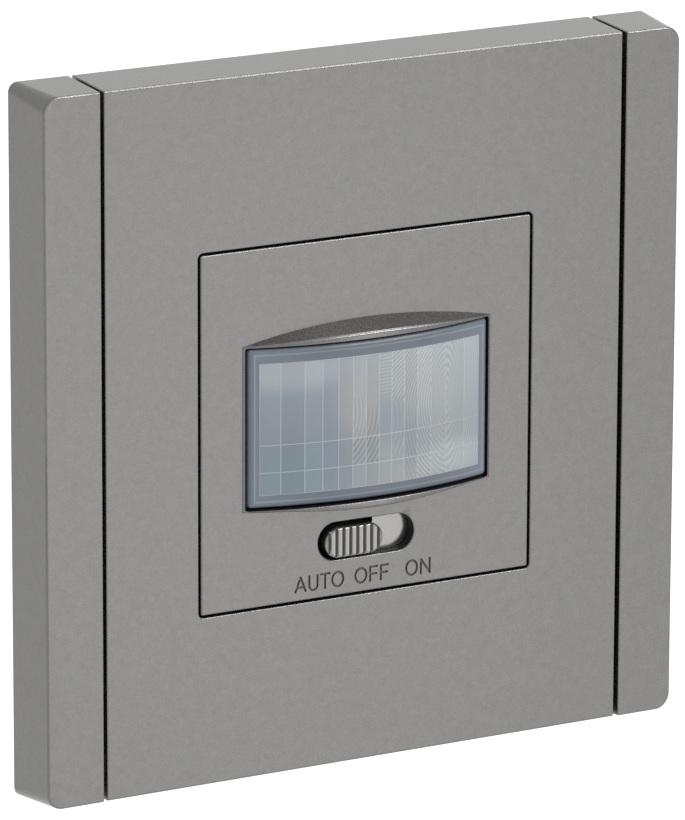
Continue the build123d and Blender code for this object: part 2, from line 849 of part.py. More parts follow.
# Bulk capacitor: a can with a scored top
bulk_radius, bulk_place = round_part(bulk_shares)
with BuildPart() as bulk_capacitor:
    with BuildSketch(level(power_level)):
        with Locations(bulk_place):
            Circle(bulk_radius)
    extrude(amount=bulk_rise)
    fillet(bulk_capacitor.edges().group_by(Axis.Y)[0], block_round)
    with BuildSketch(level(power_level + bulk_rise)):
        with Locations(bulk_place):
            Rectangle(bulk_radius, stub_radius)
            Rectangle(stub_radius, bulk_radius)
    extrude(amount=-stub_radius, mode=Mode.SUBTRACT)
pieces["bulk_capacitor"] = bulk_capacitor

# Choke: a drum core with its winding between two rims
choke_radius, choke_place = round_part(choke_shares)
choke_core = choke_core_share * choke_radius
with BuildPart() as choke:
    with BuildSketch(level(power_level)):
        with Locations(choke_place):
            Circle(choke_radius)
    extrude(amount=choke_rise)
    with BuildSketch(level(power_level + choke_rim)):
        with Locations(choke_place):
            Circle(choke_radius + overrun)
            Circle(choke_core, mode=Mode.SUBTRACT)
    extrude(amount=choke_rise - 2 * choke_rim, mode=Mode.SUBTRACT)
pieces["choke"] = choke

with BuildPart() as choke_winding:
    with BuildSketch(level(power_level + choke_rim)):
        with Locations(choke_place):
            Circle(choke_radius - block_round)
            Circle(choke_core, mode=Mode.SUBTRACT)
    extrude(amount=choke_rise - 2 * choke_rim)
pieces["choke_winding"] = choke_winding

# Varistor: a disc that stands on two leads
varistor_radius, varistor_place = round_part(varistor_shares)
varistor_level = power_level + varistor_lift + varistor_radius
with BuildPart() as varistor:
    with BuildSketch(Plane.YZ.offset(varistor_place[0] - varistor_thickness / 2)):
        with Locations((-varistor_level, varistor_place[1])):
            Circle(varistor_radius)
    extrude(amount=varistor_thickness)
    fillet(varistor.edges(), block_round)
    with BuildSketch(level(power_level)):
        with Locations(varistor_place):
            with GridLocations(0, varistor_radius, 1, 2):
                Circle(stub_radius)
    extrude(amount=varistor_lift + varistor_radius)
pieces["varistor"] = varistor

# Terminal block on the back of the power board, with three wire mouths
block_z = -block_drop
block_level = power_back - block_depth
mouth_z = block_z + block_height / 2 - mouth_cap - bar_thickness - mouth_height / 2
screw_level = block_level + terminal_setback
screw_foot = block_z - block_height / 2
mouth_floor = mouth_z - mouth_height / 2
with BuildPart() as terminal_block:
    with BuildSketch(level(block_level)):
        with Locations((0, block_z)):
            Rectangle(block_width, block_height)
    extrude(amount=block_depth)
    with BuildSketch(level(block_level)):
        with Locations((0, mouth_z)):
            with GridLocations(pole_pitch, 0, pole_count, 1):
                Rectangle(mouth_width, mouth_height)
    extrude(amount=mouth_depth, mode=Mode.SUBTRACT)
    with BuildSketch(level(block_level)):
        with Locations((0, mouth_z + (mouth_height + bar_thickness) / 2)):
            with GridLocations(pole_pitch, 0, pole_count, 1):
                Rectangle(bar_width, bar_thickness)
    extrude(amount=block_depth, mode=Mode.SUBTRACT)
    with BuildSketch(Plane.XY.offset(screw_foot)):
        with Locations((0, -screw_level)):
            with GridLocations(pole_pitch, 0, pole_count, 1):
                Circle(terminal_head_radius + slip)
    extrude(amount=terminal_recess + terminal_head_height, mode=Mode.SUBTRACT)
    with BuildSketch(Plane.XY.offset(screw_foot)):
        with Locations((0, -screw_level)):
            with GridLocations(pole_pitch, 0, pole_count, 1):
                Circle(terminal_shank_radius + turning)
    extrude(amount=mouth_floor - screw_foot, mode=Mode.SUBTRACT)
pieces["terminal_block"] = terminal_block

with BuildPart() as terminal_bars:
    with BuildSketch(level(block_level + slip)):
        with Locations((0, mouth_z + (mouth_height + bar_thickness) / 2)):
            with GridLocations(pole_pitch, 0, pole_count, 1):
                Rectangle(bar_width, bar_thickness)
    extrude(amount=block_depth - slip)
pieces["terminal_bars"] = terminal_bars

with BuildPart() as terminal_clamps:
    with BuildSketch(Plane.XY.offset(mouth_floor)):
        with Locations((0, -screw_level)):
            with GridLocations(pole_pitch, 0, pole_count, 1):
                Rectangle(bar_width, clamp_length)
    extrude(amount=clamp_thickness)
pieces["terminal_clamps"] = terminal_clamps

with BuildPart() as terminal_screws:
    head_foot = screw_foot + terminal_recess
    with BuildSketch(Plane.XY.offset(head_foot)):
        with Locations((0, -screw_level)):
            with GridLocations(pole_pitch, 0, pole_count, 1):
                Circle(terminal_head_radius)
    extrude(amount=terminal_head_height)
    with BuildSketch(Plane.XY.offset(head_foot)):
        with Locations((0, -screw_level)):
            with GridLocations(pole_pitch, 0, pole_count, 1):
                Circle(terminal_shank_radius)
    extrude(amount=mouth_floor - head_foot)
    with BuildSketch(Plane.XY.offset(head_foot)):
        with Locations((0, -screw_level)):
            with GridLocations(pole_pitch, 0, pole_count, 1):
                Rectangle(2 * terminal_head_radius, terminal_slot_width)
    extrude(amount=terminal_slot_depth, mode=Mode.SUBTRACT)
pieces["terminal_screws"] = terminal_screws

# Write each piece to its own file
os.makedirs("parts", exist_ok=True)
for label, piece in pieces.items():
    piece.part.label = label
    export_step(piece.part, f"parts/{label}.step")
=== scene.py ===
import json
from math import cos, hypot, pi, radians, sin, sqrt

import bmesh
import bpy
import numpy as np
from mathutils import Matrix, Vector


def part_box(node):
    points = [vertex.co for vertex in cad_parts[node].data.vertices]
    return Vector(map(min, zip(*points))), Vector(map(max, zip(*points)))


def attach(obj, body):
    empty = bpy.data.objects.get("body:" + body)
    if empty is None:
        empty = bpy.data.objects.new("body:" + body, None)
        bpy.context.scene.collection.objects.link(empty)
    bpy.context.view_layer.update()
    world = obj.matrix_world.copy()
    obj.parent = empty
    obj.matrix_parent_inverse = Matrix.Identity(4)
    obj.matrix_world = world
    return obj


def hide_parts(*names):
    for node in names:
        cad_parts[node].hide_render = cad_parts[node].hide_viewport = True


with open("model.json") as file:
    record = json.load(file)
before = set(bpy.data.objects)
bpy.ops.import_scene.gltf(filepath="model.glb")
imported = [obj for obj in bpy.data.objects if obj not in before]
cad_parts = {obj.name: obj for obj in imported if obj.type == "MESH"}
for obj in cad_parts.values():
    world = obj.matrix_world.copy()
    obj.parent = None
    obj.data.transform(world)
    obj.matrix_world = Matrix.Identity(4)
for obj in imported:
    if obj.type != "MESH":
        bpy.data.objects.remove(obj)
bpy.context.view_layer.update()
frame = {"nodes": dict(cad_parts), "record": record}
nodes = frame["nodes"]
MM = 0.001
ROOT = "device"
scene = bpy.context.scene

# Camera at the photograph's viewing angle
AZIMUTH, ELEVATION, ROLL = radians(-29.266), radians(14.994), radians(0.203)
CAMERA_TARGET = Vector((0.001136, 0, -0.001521))
CAMERA_DISTANCE = 0.854
CAMERA_CLIP = 0.01
FOCAL_PIXELS, PHOTO_HEIGHT = 7099.6, 820
SENSOR_WIDTH = 36.0
forward = Vector((-sin(AZIMUTH) * cos(ELEVATION), cos(AZIMUTH) * cos(ELEVATION), -sin(ELEVATION)))
right = forward.cross(Vector((0, 0, 1))).normalized()
up = right.cross(forward)
tilted_right = right * cos(ROLL) + up * sin(ROLL)
tilted_up = up * cos(ROLL) - right * sin(ROLL)
camera_data = bpy.data.cameras.new("camera")
camera = bpy.data.objects.new("camera", camera_data)
scene.collection.objects.link(camera)
camera_turn = Matrix((tilted_right, tilted_up, -forward)).transposed().to_4x4()
camera.matrix_world = Matrix.Translation(CAMERA_TARGET - forward * CAMERA_DISTANCE) @ camera_turn
camera_data.sensor_width = SENSOR_WIDTH
camera_data.lens = FOCAL_PIXELS * SENSOR_WIDTH / PHOTO_HEIGHT
camera_data.clip_start = CAMERA_CLIP
scene.camera = camera

# Places of the colour sockets on Blender's mix node
MIX_FACTOR, MIX_FIRST, MIX_SECOND, MIX_RESULT = 0, 6, 7, 2


class Maker:
    """Small helper that adds and links shader nodes."""

    def __init__(self, name):
        self.material = bpy.data.materials.new(name)
        self.material.use_nodes = True
        self.tree = self.material.node_tree
        self.tree.nodes.clear()
        self.out = self.node("ShaderNodeOutputMaterial")
        self.shader = self.node("ShaderNodeBsdfPrincipled")
        self.link(self.shader, "BSDF", self.out, "Surface")
        self.place = self.node("ShaderNodeTexCoord")

    def node(self, kind, **values):
        """New node, with its own settings or its inputs' values by name."""
        made = self.tree.nodes.new(kind)
        for key, value in values.items():
            if hasattr(made, key):
                setattr(made, key, value)
            else:
                made.inputs[key.replace("_", " ")].default_value = value
        return made

    def wire(self, socket, target, in_name):
        """Link an output socket to a node's input, given by name or number."""
        self.tree.links.new(socket, target.inputs[in_name])

    def link(self, source, out_name, target, in_name):
        self.wire(source.outputs[out_name], target, in_name)

    def noise(self, scale, detail=2.0, roughness=0.5, stretch=(1, 1, 1)):
        """Socket of a noise fixed to the piece."""
        mapping = self.node("ShaderNodeMapping", Scale=stretch)
        self.link(self.place, "Object", mapping, "Vector")
        made = self.node("ShaderNodeTexNoise", Scale=scale, Detail=detail, Roughness=roughness)
        self.link(mapping, "Vector", made, "Vector")
        return made.outputs["Fac"]

    def ramp(self, socket, stops):
        """Socket of the colour or grey that a value has between stops."""
        made = self.node("ShaderNodeValToRGB")
        elements = made.color_ramp.elements
        while len(elements) < len(stops):
            elements.new(0.5)
        for element, (position, value) in zip(elements, stops):
            element.position = position
            element.color = (*value, 1) if isinstance(value, tuple) else (value, value, value, 1)
        self.wire(socket, made, "Fac")
        return made.outputs["Color"]

    def mix(self, blend, first, second, factor=None):
        """Socket of two colours blended, each given as a tuple or a socket."""
        made = self.node("ShaderNodeMix", data_type="RGBA", blend_type=blend)
        made.inputs[MIX_FACTOR].default_value = 1.0
        if factor is not None:
            self.wire(factor, made, MIX_FACTOR)
        for place, source in ((MIX_FIRST, first), (MIX_SECOND, second)):
            if isinstance(source, tuple):
                made.inputs[place].default_value = (*source, 1)
            else:
                self.wire(source, made, place)
        return made.outputs[MIX_RESULT]

    def bump(self, socket, strength, distance):
        made = self.node("ShaderNodeBump", Strength=strength, Distance=distance)
        self.wire(socket, made, "Height")
        self.link(made, "Normal", self.shader, "Normal")

    def set(self, **values):
        for key, value in values.items():
            self.shader.inputs[key.replace("_", " ")].default_value = value


def shade(colour, factor):
    return tuple(min(1.0, c * factor) for c in colour)


def surface(name, colour, rough, metal=0.0, grain=2500.0, contrast=0.06, relief=0.15, depth=0.00003,
            stretch=(1, 1, 1), transmission=0.0, cloud=60.0, cloud_contrast=0.03, spread=0.05):
    """Plastic, paint or metal: fine grain and slow drift of colour, roughness and relief from noise."""
    m = Maker(name)
    fine = m.noise(grain, detail=3.0, roughness=0.6, stretch=stretch)
    slow = m.noise(cloud)
    grain_tone = m.ramp(fine, [(0.3, shade(colour, 1 - contrast)), (0.7, shade(colour, 1 + contrast))])
    slow_tone = m.ramp(slow, [(0.3, 1 - cloud_contrast), (0.7, 1.0)])
    m.wire(m.mix("MULTIPLY", grain_tone, slow_tone), m.shader, "Base Color")
    m.wire(m.ramp(fine, [(0.25, rough - spread), (0.75, rough + spread)]), m.shader, "Roughness")
    m.bump(fine, relief, depth)
    m.set(Metallic=metal, IOR=PLASTIC_IOR)
    if transmission:
        m.set(Transmission_Weight=transmission)
    return m.material


PLASTIC_IOR = 1.5
PAINT = (0.163, 0.161, 0.157)
FINISHES = {
    "silver_paint": dict(colour=PAINT, rough=0.27, metal=0.9, grain=4200.0, contrast=0.07, relief=0.02,
                         depth=0.00001, cloud=900.0, cloud_contrast=0.06, spread=0.01),
    # The knob's paint is the cover's silver made 1.4 times lighter, a lit copy of the same paint: painted
    # light on the knob and its apron
    "knob_paint": dict(colour=shade(PAINT, 1.4), rough=0.2, metal=0.92, grain=4200.0, contrast=0.04,
                       relief=0.02, depth=0.00001, spread=0.01),
    # Near-black walls: unpainted plastic, darkened further as painted shade for the deep gaps of the
    # opening and the slot
    "bare_plastic": dict(colour=(0.008, 0.008, 0.009), rough=0.6, contrast=0.2),
    "letter_ink": dict(colour=(0.125, 0.122, 0.118), rough=0.5, metal=0.3, grain=5200.0, contrast=0.2),
    "white_plastic": dict(colour=(0.82, 0.82, 0.8), rough=0.42, grain=3000.0, contrast=0.02),
    "grey_plastic": dict(colour=(0.075, 0.077, 0.08), rough=0.5, grain=2200.0, contrast=0.12, relief=0.3),
    "board_laminate": dict(colour=(0.012, 0.09, 0.035), rough=0.3, grain=1400.0, contrast=0.15,
                           relief=0.25),
    "sensor_metal": dict(colour=(0.55, 0.54, 0.51), rough=0.28, metal=1.0, grain=3000.0, contrast=0.05,
                         relief=0.1),
    "dark_filter": dict(colour=(0.02, 0.02, 0.024), rough=0.12, grain=900.0, contrast=0.1, relief=0.05),
    "clear_dome": dict(colour=(0.75, 0.77, 0.8), rough=0.1, grain=1500.0, contrast=0.02,
                       transmission=0.7),
    "red_dome": dict(colour=(0.5, 0.03, 0.02), rough=0.12, grain=1500.0, contrast=0.05,
                     transmission=0.4),
    "blue_plastic": dict(colour=(0.02, 0.08, 0.36), rough=0.3),
    "black_plastic": dict(colour=(0.018, 0.018, 0.019), rough=0.42, contrast=0.2, relief=0.3),
    "yellow_plastic": dict(colour=(0.68, 0.36, 0.02), rough=0.3),
    "capacitor_sleeve": dict(colour=(0.012, 0.014, 0.035), rough=0.22, grain=1200.0),
    "ferrite": dict(colour=(0.022, 0.022, 0.024), rough=0.6, grain=3600.0, contrast=0.3, relief=0.5),
    "copper_wire": dict(colour=(0.5, 0.14, 0.05), rough=0.25, metal=1.0, stretch=(1, 1, 8)),
    "terminal_plastic": dict(colour=(0.5, 0.51, 0.49), rough=0.45, grain=2600.0, contrast=0.04),
    "terminal_brass": dict(colour=(0.6, 0.42, 0.14), rough=0.3, metal=1.0, grain=3000.0, contrast=0.08),
    "clamp_steel": dict(colour=(0.5, 0.5, 0.51), rough=0.33, metal=1.0, grain=2600.0, contrast=0.08,
                        stretch=(4, 1, 1)),
    "bracket_steel": dict(colour=(0.5, 0.51, 0.52), rough=0.36, metal=1.0, grain=1800.0, contrast=0.08,
                          relief=0.2, stretch=(1, 1, 6), cloud=160.0, cloud_contrast=0.12),
}
finishes = {name: surface(name, **values) for name, values in FINISHES.items()}
slot_of = {part["node"]: part["material_slot"] for part in frame["record"]["subparts"]}
for name, node in nodes.items():
    slot = slot_of[name]
    if slot in finishes:
        node.data.materials.clear()
        node.data.materials.append(finishes[slot])


def add_piece(name, mesh, material, body=ROOT):
    """Link a mesh as a piece of the object that rides on a body."""
    made = bpy.data.objects.new(name, mesh)
    scene.collection.objects.link(made)
    mesh.materials.clear()
    mesh.materials.append(material)
    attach(made, body)
    return made


# Sensor cover: the CAD shape with the three words engraved under the slider, in millimetres
COVER_FACE = -8.0
CAP_HEIGHT = 2.06
BASELINE = -20.95
STROKE = 0.28
OVERRUN = STROKE * 0.35
ENGRAVING = 0.22
CUTTER_STAND = 0.3
BAR_SHARE = 0.3
SHORT_ARM = 0.1
BOWL_STEPS, OVAL_STEPS = 8, 24
WELD = 0.000001
LETTER_WIDTHS = {"A": 1.66, "U": 1.4, "T": 1.5, "O": 1.78, "F": 1.25, "N": 1.5}
LETTERS = (("A", -9.84), ("U", -7.95), ("T", -6.4), ("O", -4.82), ("O", -1.64), ("F", 0.38),
           ("F", 1.87), ("O", 5.36), ("N", 7.4))
LETTER_BAND = (LETTERS[0][1], LETTERS[-1][1] + LETTER_WIDTHS["N"], BASELINE, BASELINE + CAP_HEIGHT)
OPENING = (-16.6, 16.6, -9.85, 10.1)
SLOT = (-6.55, 6.55, -17.5, -12.9)
RIM_ROUND = 0.13
RIM_FACETS = 3
WALL_MARGIN, LETTER_MARGIN, DEPTH_MARGIN = 0.03, 0.2, 0.01
# A face is a wall where its normal's front-to-back part is smaller than this, and else a front or back
SIDEWAYS = 0.3
COVER_SHARP = radians(52)
# Material indices: paint, the near-black walls (partly unpainted plastic, partly painted shade of the deep
# gaps) and ink
PAINTED, BARE_AND_SHADE, INKED = 0, 1, 2


def letter_strokes(letter, width):
    """Centre lines of a plain capital, as lists of points from its lower left corner."""
    half = STROKE / 2
    low, top, mid = half, CAP_HEIGHT - half, CAP_HEIGHT * 0.5
    left, right_side, centre = half, width - half, width / 2
    radius = (right_side - left) / 2
    if letter == "A":
        bar_height = low + BAR_SHARE * (top - low)
        return [[(left, low), (centre, top), (right_side, low)],
                [(left + BAR_SHARE * (centre - left), bar_height),
                 (right_side - BAR_SHARE * (right_side - centre), bar_height)]]
    if letter == "U":
        turns = [pi * k / BOWL_STEPS for k in range(BOWL_STEPS + 1)]
        bowl = [(centre - radius * cos(turn), low + radius - radius * sin(turn)) for turn in turns]
        return [[(left, top)] + bowl + [(right_side, top)]]
    if letter == "T":
        return [[(left, top), (right_side, top)], [(centre, top), (centre, low)]]
    if letter == "O":
        turns = [pi * k / (OVAL_STEPS // 2) for k in range(OVAL_STEPS + 1)]
        return [[(centre + radius * sin(turn), mid + (top - low) / 2 * cos(turn)) for turn in turns]]
    if letter == "F":
        return [[(left, low), (left, top), (right_side, top)], [(left, mid), (right_side - SHORT_ARM, mid)]]
    return [[(left, low), (left, top), (right_side, low), (right_side, top)]]


def stroke_cutter():
    """Narrow bars along every stroke, to be cut into the cover's face."""
    half = STROKE / 2
    work = bmesh.new()
    for letter, start in LETTERS:
        for line in letter_strokes(letter, LETTER_WIDTHS[letter]):
            for (x0, z0), (x1, z1) in zip(line, line[1:]):
                length = hypot(x1 - x0, z1 - z0)
                ax, az = (x1 - x0) / length, (z1 - z0) / length
                ends = ((-OVERRUN, -half), (length + OVERRUN, -half), (length + OVERRUN, half),
                        (-OVERRUN, half))
                corners = [(start + x0 + ax * along - az * side, BASELINE + z0 + az * along + ax * side)
                           for along, side in ends]
                front, back = ([work.verts.new((x * MM, y * MM, z * MM)) for x, z in corners]
                               for y in (COVER_FACE - CUTTER_STAND, COVER_FACE + ENGRAVING))
                work.faces.new(front)
                work.faces.new(back[::-1])
                for k in range(4):
                    work.faces.new((front[k], back[k], back[(k + 1) % 4], front[(k + 1) % 4]))
    bmesh.ops.recalc_face_normals(work, faces=work.faces)
    mesh = bpy.data.meshes.new("stroke_cutter")
    work.to_mesh(mesh)
    work.free()
    made = bpy.data.objects.new("stroke_cutter", mesh)
    scene.collection.objects.link(made)
    return made


def engraved_copy(node_name, piece_name, cutter):
    """Copy of a node's mesh with the cutter taken out of it."""
    mesh = nodes[node_name].data.copy()
    mesh.attributes.remove(mesh.attributes["custom_normal"])
    work = bmesh.new()
    work.from_mesh(mesh)
    bmesh.ops.remove_doubles(work, verts=work.verts, dist=WELD)
    work.to_mesh(mesh)
    work.free()
    blank = bpy.data.objects.new(piece_name + "_blank", mesh)
    scene.collection.objects.link(blank)
    cut = blank.modifiers.new("engrave", "BOOLEAN")
    cut.operation = "DIFFERENCE"
    cut.solver = "EXACT"
    cut.use_self = True
    cut.object = cutter
    result = bpy.data.meshes.new_from_object(blank.evaluated_get(bpy.context.evaluated_depsgraph_get()))
    result.name = piece_name
    bpy.data.objects.remove(blank)
    bpy.data.objects.remove(cutter)
    return result


def within(point, box, margin):
    """Whether a point lies in a box of x and z limits in millimetres, widened by a margin."""
    x, z = point.x / MM, point.z / MM
    return box[0] - margin < x < box[1] + margin and box[2] - margin < z < box[3] + margin


def finish_cover(mesh):
    """Near-black walls in the lens opening and the slot, partly unpainted plastic and partly painted shade
    of these deep gaps, inked letters, and a soft rim at the opening.
    """
    work = bmesh.new()
    work.from_mesh(mesh)
    for face in work.faces:
        middle = face.calc_center_median()
        depth = middle.y / MM - COVER_FACE
        in_wall = within(middle, OPENING, WALL_MARGIN) or within(middle, SLOT, WALL_MARGIN)
        # Walls in the opening and the slot take the near-black material: partly unpainted plastic, partly
        # painted shade of these deep gaps
        if in_wall and abs(face.normal.y) < SIDEWAYS:
            face.material_index = BARE_AND_SHADE
        elif within(middle, LETTER_BAND, LETTER_MARGIN) and DEPTH_MARGIN < depth < ENGRAVING + DEPTH_MARGIN:
            face.material_index = INKED
    rim = []
    for edge in work.edges:
        middle = (edge.verts[0].co + edge.verts[1].co) / 2
        if len(edge.link_faces) != 2 or not within(middle, OPENING, WALL_MARGIN):
            continue
        first, second = sorted(edge.link_faces, key=lambda face: face.material_index)
        if (first.material_index, second.material_index) == (PAINTED, BARE_AND_SHADE) and first.normal.y < -SIDEWAYS:
            rim.append(edge)
    bmesh.ops.bevel(work, geom=rim, offset=RIM_ROUND * MM, offset_type="OFFSET", segments=RIM_FACETS,
                    profile=0.5, affect="EDGES", clamp_overlap=False, material=PAINTED)
    work.to_mesh(mesh)
    work.free()
    mesh.shade_smooth()
    mesh.set_sharp_from_angle(angle=COVER_SHARP)


cover_mesh = engraved_copy("sensor_cover", "engraved_cover", stroke_cutter())
cover = add_piece("engraved_cover", cover_mesh, finishes["silver_paint"])
cover_mesh.materials.append(finishes["bare_plastic"])
cover_mesh.materials.append(finishes["letter_ink"])
finish_cover(cover_mesh)
weighted = cover.modifiers.new("even_faces", "WEIGHTED_NORMAL")
weighted.keep_sharp = True
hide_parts("sensor_cover")

# Lens: a milky shell with segment seams, fine rings and a plain border, in millimetres
LENS_RADIUS = 50.83
BARREL_Y = 39.93
LENS_WIDTH, LENS_HEIGHT = 32.64, 19.43
LENS_CORNER = 0.5
LENS_SHIFT, LENS_RISE = 0.08, 0.185
LENS_SHARP = radians(62)
FLANGE_RISE = 0.125
FLANGE_FRONT, FLANGE_BACK = -6.7, -5.9
SKIN = 0.8
EDGE_WIDTH, EDGE_DROP = 0.75, 0.42
# The segmented field's x and z limits, and how much it, its seams and its rings stand out
FIELD = (-14.99, 14.99, -8.0, 8.13)
FIELD_FADE = 0.05
FIELD_RELIEF = SEAM_RELIEF = TALLEST_RING = 0.03
SEAM_HALF = 0.08
# Seams reach their full height where the field has risen by this share
SEAM_START = 0.2
COLUMNS = (0.0, 1.73, 3.5, 5.37, 7.38, 9.6, 12.49)
ROWS = (-1.88, -5.23)
# Each segment's own tone, and the share by which its patches are drawn to its middle
TONE_STEP, ROW_TONES = 2.4, 2.6
CELL_PULL = 0.75
# The front's grid: its step, and its closer lines from each end and at each seam
GRID_STEP = 0.1
END_LINES = (0, 0.03, 0.08, 0.16, 0.27, 0.4, 0.5, 0.6, 0.75)
SEAM_LINES = (-0.09, -0.045, 0, 0.045, 0.09)
# Points on the flange's sides, and cells across and up the shell's inside
FLANGE_POINTS = (8, 6, 8, 6)
INNER_COLUMNS, INNER_ROWS = 48, 2
RINGS = (
    # x from, x to, z from, z to, centre x, centre z, spacing, height, share of z that counts
    (3.5, 5.37, 1.0, 8.2, 10.4, 0.4, 0.36, 0.03, 0.85),
    (3.5, 5.37, -8.0, 1.0, 9.8, 1.6, 0.42, 0.014, 0.5),
    (5.37, 7.38, -8.0, 8.2, 11.0, 0.9, 0.36, 0.03, 0.72),
    (7.38, 9.6, -8.0, 8.2, 10.2, 1.2, 0.34, 0.016, 0.5),
    (9.6, 12.49, -8.0, 8.2, 9.75, 1.6, 0.32, 0.016, 0.3),
    (12.49, 15.0, -8.0, 8.2, 8.6, 2.6, 0.34, 0.016, 0.42),
    (1.73, 3.5, 2.2, 8.2, 8.4, -2.0, 0.4, 0.03, 0.95),
    (0.0, 1.73, 3.0, 8.2, 1.4, -6.0, 0.42, 0.02, 1.0),
    (-1.73, 0.0, -1.9, 1.6, -5.6, 1.2, 0.55, 0.02, 0.8),
    (-3.5, -1.73, -1.9, 3.0, -6.4, 1.4, 0.5, 0.016, 0.7),
    (-3.5, 0.0, -5.2, -1.9, -7.0, 2.0, 0.5, 0.03, 0.8),
    (1.73, 3.5, -4.6, 2.2, -1.0, -0.4, 0.6, 0.012, 0.7),
)
# The lens's colours: patches and tones by place, and shares of its width, height and border. The field's
# tones and patches are painted light, the lit inside seen through the milky plastic: lighter toward the
# right and darker toward the bottom.
PATCHES = (
    # centre x, centre z, reach x, reach z, strength, colour
    (-11.0, 7.0, 9.0, 3.5, 0.7, (0.47, 0.5, 0.52)),
    (-3.2, 2.5, 4.0, 6.0, 0.6, (0.43, 0.41, 0.41)),
    (1.6, -0.2, 2.8, 4.4, 0.55, (0.23, 0.28, 0.33)),
    (4.8, -3.0, 3.4, 5.0, 0.55, (0.24, 0.32, 0.34)),
    (-10.5, -5.6, 9.0, 4.5, 0.6, (0.22, 0.3, 0.34)),
    (-6.5, -1.0, 3.0, 9.0, 0.4, (0.22, 0.28, 0.34)),
    (10.5, -6.0, 6.0, 3.0, 0.5, (0.5, 0.54, 0.56)),
)
PATCH_CORE = 0.3
GRADIENT_HALF_WIDTH, GRADIENT_HALF_HEIGHT, BORDER_WIDTH = 16.5, 8.5, 2.0
ACROSS_COLOURS = ((0.0, (0.3, 0.35, 0.405)), (0.3, (0.305, 0.35, 0.4)), (0.5, (0.38, 0.41, 0.43)),
                  (0.66, (0.43, 0.455, 0.475)), (0.8, (0.43, 0.46, 0.48)), (1.0, (0.36, 0.395, 0.43)))
DOWN_TONES = ((0.0, 1.06), (0.3, 0.97), (0.62, 0.84), (1.0, 0.84))
# Seams are painted lighter: a painted highlight along them, strongest toward the left
SEAM_HIGHLIGHT_COLOUR = (0.66, 0.71, 0.74)
SEAM_HIGHLIGHT_LEVELS = ((0.0, 0.6), (0.62, 0.6), (0.78, 0.25), (1.0, 0.15))
# The border is blue-grey, with painted shade at its very edge and a painted highlight line about 0.74 mm
# in, at the end of its rounding
BORDER_TINT_AND_SHADING = ((0.0, (0.1, 0.125, 0.15)), (0.1, (0.13, 0.16, 0.19)), (0.3, (0.145, 0.17, 0.205)),
                  (0.37, (0.24, 0.29, 0.335)), (0.44, (0.15, 0.175, 0.21)), (1.0, (0.155, 0.18, 0.22)))
BORDER_TONES = ((0.0, 1.4), (0.12, 1.2), (0.3, 0.94), (0.7, 0.94), (0.95, 1.1))
# How much each segment's tone varies, and how much the rings are painted lighter and darker: painted light
# and shade of their refraction
SEGMENT_CONTRAST, RING_LIGHT_AND_SHADE = 0.06, 0.2
LENS_GRAIN, LENS_BUMP, LENS_BUMP_DEPTH = 3200.0, 0.08, 0.00002
LENS_ROUGHNESS = ((0.3, 0.3), (0.7, 0.38))
LENS_CLEARNESS = 0.12


def axis_lines(low, high, marks):
    """Grid lines from low to high, close together at both ends and at each mark."""
    fixed = {low + e for e in END_LINES} | {high - e for e in END_LINES}
    fixed |= {mark + e for mark in marks for e in SEAM_LINES}
    fixed = sorted(fixed)
    lines = [fixed[0]]
    for a, b in zip(fixed, fixed[1:]):
        count = max(1, round((b - a) / GRID_STEP))
        lines += [a + (b - a) * k / count for k in range(1, count + 1)]
    return np.array(lines)


def smooth_step(value, low, high):
    t = np.clip((value - low) / (high - low), 0, 1)
    return t * t * (3 - 2 * t)


def box_size(name):
    """Width and height of a node's box in millimetres."""
    low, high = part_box(name)
    return (high[0] - low[0]) / MM, (high[2] - low[2]) / MM


def ring_of(grid):
    """Indices round a grid's edge, with each one's place round it from 0 to 4."""
    last_x, last_z = grid.shape[0] - 1, grid.shape[1] - 1
    found = [(int(grid[i, 0]), i / last_x) for i in range(last_x)]
    found += [(int(grid[last_x, j]), 1 + j / last_z) for j in range(last_z)]
    found += [(int(grid[last_x - i, last_z]), 2 + i / last_x) for i in range(last_x)]
    found += [(int(grid[0, last_z - j]), 3 + j / last_z) for j in range(last_z)]
    return found


